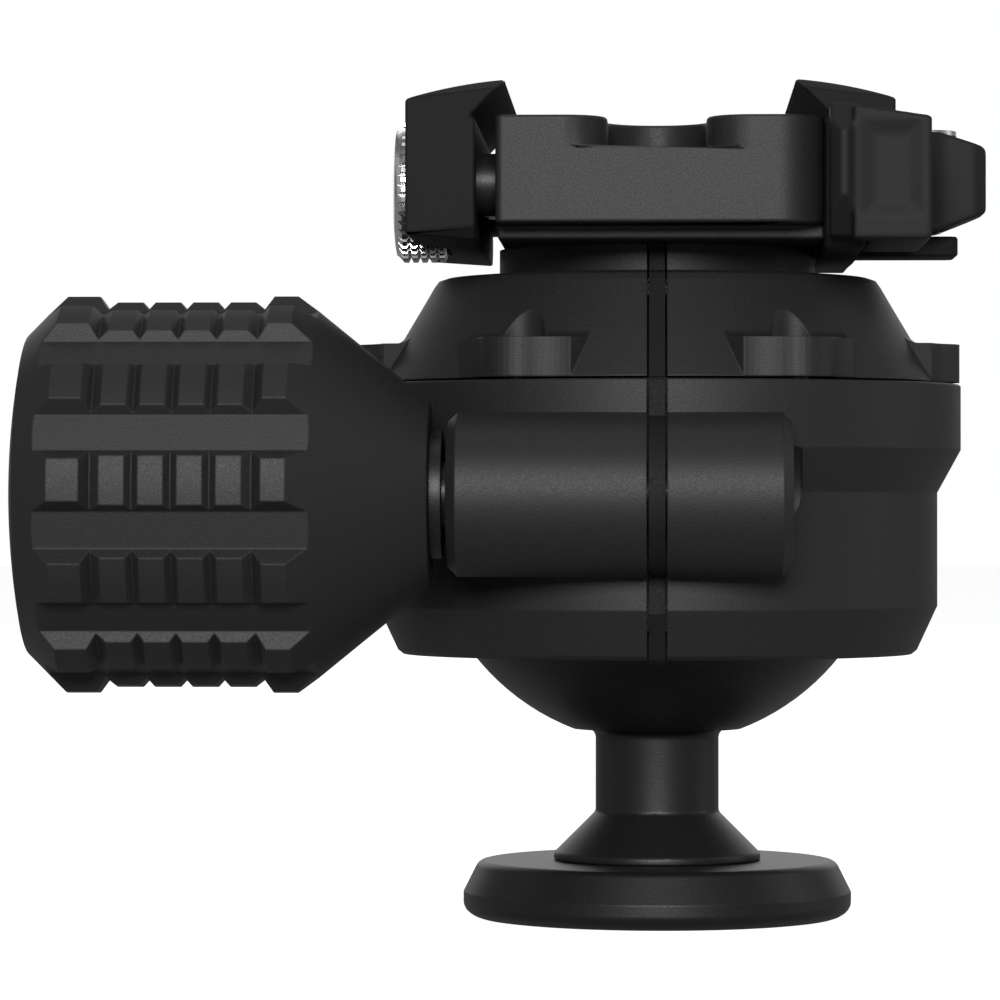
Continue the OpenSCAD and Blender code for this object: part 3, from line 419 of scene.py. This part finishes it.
def join_rings(shape, near, far):
    """Faces between two rings. One with a single highest corner, as beside a tooth, is split from there."""
    for here in range(len(near)):
        after = (here + 1) % len(near)
        square = [near[here], near[after], far[after], far[here]]
        points = [point for point, _ in square]
        heights = [radius for _, radius in square]
        highest = max(heights)
        if heights.count(highest) == 1:
            first = heights.index(highest)
            a, b, c, d = points[first:] + points[:first]
            shape.faces.new((a, b, c))
            shape.faces.new((a, c, d))
        else:
            shape.faces.new(points)


def knurled_wheel(name):
    """The thumb wheel with rings of small flat-topped teeth, as wide as its node."""
    low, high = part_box(name)
    centre = (low[0], (low[1] + high[1]) / 2, (low[2] + high[2]) / 2)
    profile = wheel_profile((high[2] - low[2]) / 2 / MM)
    shape = bmesh.new()
    rings = [wheel_ring(shape, centre, *row) for row in profile]
    for near, far in zip(rings, rings[1:] + rings[:1]):
        join_rings(shape, near, far)
    bmesh.ops.recalc_face_normals(shape, faces=shape.faces)
    mesh = bpy.data.meshes.new(name)
    shape.to_mesh(mesh)
    shape.free()
    mesh.shade_smooth()
    mesh.set_sharp_from_angle(angle=KNURL_SHARP_TURN)
    stand_in(name, mesh)


def make_pieces():
    knurled_wheel("adjusting_wheel")
    soften("lever")
    for name, radius in ROUNDS.items():
        round_edges(name, radius)


# ---- studio ---------------------------------------------------------------------------

# How bright the room is for the rays that light the object, where 1 is white.
ROOM_LEVEL = 0.04

# How far the room goes from that level to white for gloss, and how much of the floor's glow gloss sees.
# Both are small, so that black stays black.
ROOM_GLOSS = 0.15
FLOOR_GLOSS = 0.07

FLOOR_HALF = 3.0
FLOOR_COLOUR = (0.35, 0.35, 0.35, 1)
FLOOR_ROUGHNESS = 0.9
FLOOR_GLOW = 0.95
WHITE = (1, 1, 1, 1)

# Each lamp's place and size in metres, and its watts. They all point at the object's middle.
LAMP_AIM = (0, 0, 0.04)
LAMPS = {
    "key": ((0.0, -1.0, 0.33), (0.4, 0.28), 14.4),
    "top": ((0.0, 0.1, 1.0), (0.7, 0.7), 1.8),
    "left": ((-0.9, 0.1, 0.3), (0.3, 0.7), 0.3),
    "right": ((0.9, 0.1, 0.3), (0.3, 0.7), 1.4),
    "back": ((0.0, 1.0, 0.4), (1.4, 0.6), 3.0),
}


def seen_directly(nodes, links, gloss_share):
    """1 for rays from the camera or through glass, the given share for gloss, and 0 for all others."""
    path = nodes.new("ShaderNodeLightPath")
    total = path.outputs["Is Camera Ray"]
    for ray, share in (("Is Glossy Ray", gloss_share), ("Is Transmission Ray", 1.0)):
        part = nodes.new("ShaderNodeMath")
        part.operation = "MULTIPLY"
        part.inputs[1].default_value = share
        links.new(path.outputs[ray], part.inputs[0])
        most = nodes.new("ShaderNodeMath")
        most.operation = "MAXIMUM"
        links.new(total, most.inputs[0])
        links.new(part.outputs[0], most.inputs[1])
        total = most.outputs[0]
    return total


def add_world():
    """A dim room that looks white."""
    world = bpy.data.worlds.new("studio")
    world.use_nodes = True
    nodes, links = world.node_tree.nodes, world.node_tree.links
    background = nodes["Background"]
    background.inputs["Color"].default_value = WHITE
    spread = nodes.new("ShaderNodeMapRange")
    spread.inputs["To Min"].default_value = ROOM_LEVEL
    spread.inputs["To Max"].default_value = 1.0
    links.new(seen_directly(nodes, links, ROOM_GLOSS), spread.inputs["Value"])
    links.new(spread.outputs["Result"], background.inputs["Strength"])
    bpy.context.scene.world = world


def floor_material():
    """A plain grey that keeps the object's shadow, with a glow that makes it look white."""
    material = bpy.data.materials.new("floor")
    material.use_nodes = True
    nodes, links = material.node_tree.nodes, material.node_tree.links
    shader = nodes["Principled BSDF"]
    shader.inputs["Base Color"].default_value = FLOOR_COLOUR
    shader.inputs["Roughness"].default_value = FLOOR_ROUGHNESS
    shader.inputs["Specular IOR Level"].default_value = 0.0
    shader.inputs["Emission Color"].default_value = WHITE
    strength = nodes.new("ShaderNodeMath")
    strength.operation = "MULTIPLY"
    strength.inputs[1].default_value = FLOOR_GLOW
    links.new(seen_directly(nodes, links, FLOOR_GLOSS), strength.inputs[0])
    links.new(strength.outputs[0], shader.inputs["Emission Strength"])
    return material


def add_floor():
    mesh = bpy.data.meshes.new("floor")
    square = [(x * FLOOR_HALF, y * FLOOR_HALF, 0) for x, y in ((-1, -1), (1, -1), (1, 1), (-1, 1))]
    mesh.from_pydata(square, [], [(0, 1, 2, 3)])
    mesh.materials.append(floor_material())
    floor = bpy.data.objects.new("floor", mesh)
    bpy.context.scene.collection.objects.link(floor)


def add_lamp(name, place, size, watts):
    data = bpy.data.lights.new(name, "AREA")
    data.shape = "RECTANGLE"
    data.size, data.size_y = size
    data.energy = watts
    lamp = bpy.data.objects.new(name, data)
    lamp.location = place
    lamp.rotation_euler = (Vector(LAMP_AIM) - Vector(place)).to_track_quat("-Z", "Y").to_euler()
    bpy.context.scene.collection.objects.link(lamp)


# ---- the scene --------------------------------------------------------------------------

add_camera()
FINISHES = make_finishes()
dress_nodes()
make_pieces()
add_world()
add_floor()
for lamp_name, (lamp_place, lamp_size, lamp_watts) in LAMPS.items():
    add_lamp(lamp_name, lamp_place, lamp_size, lamp_watts)

scene = bpy.context.scene
scene.view_settings.view_transform = "Standard"
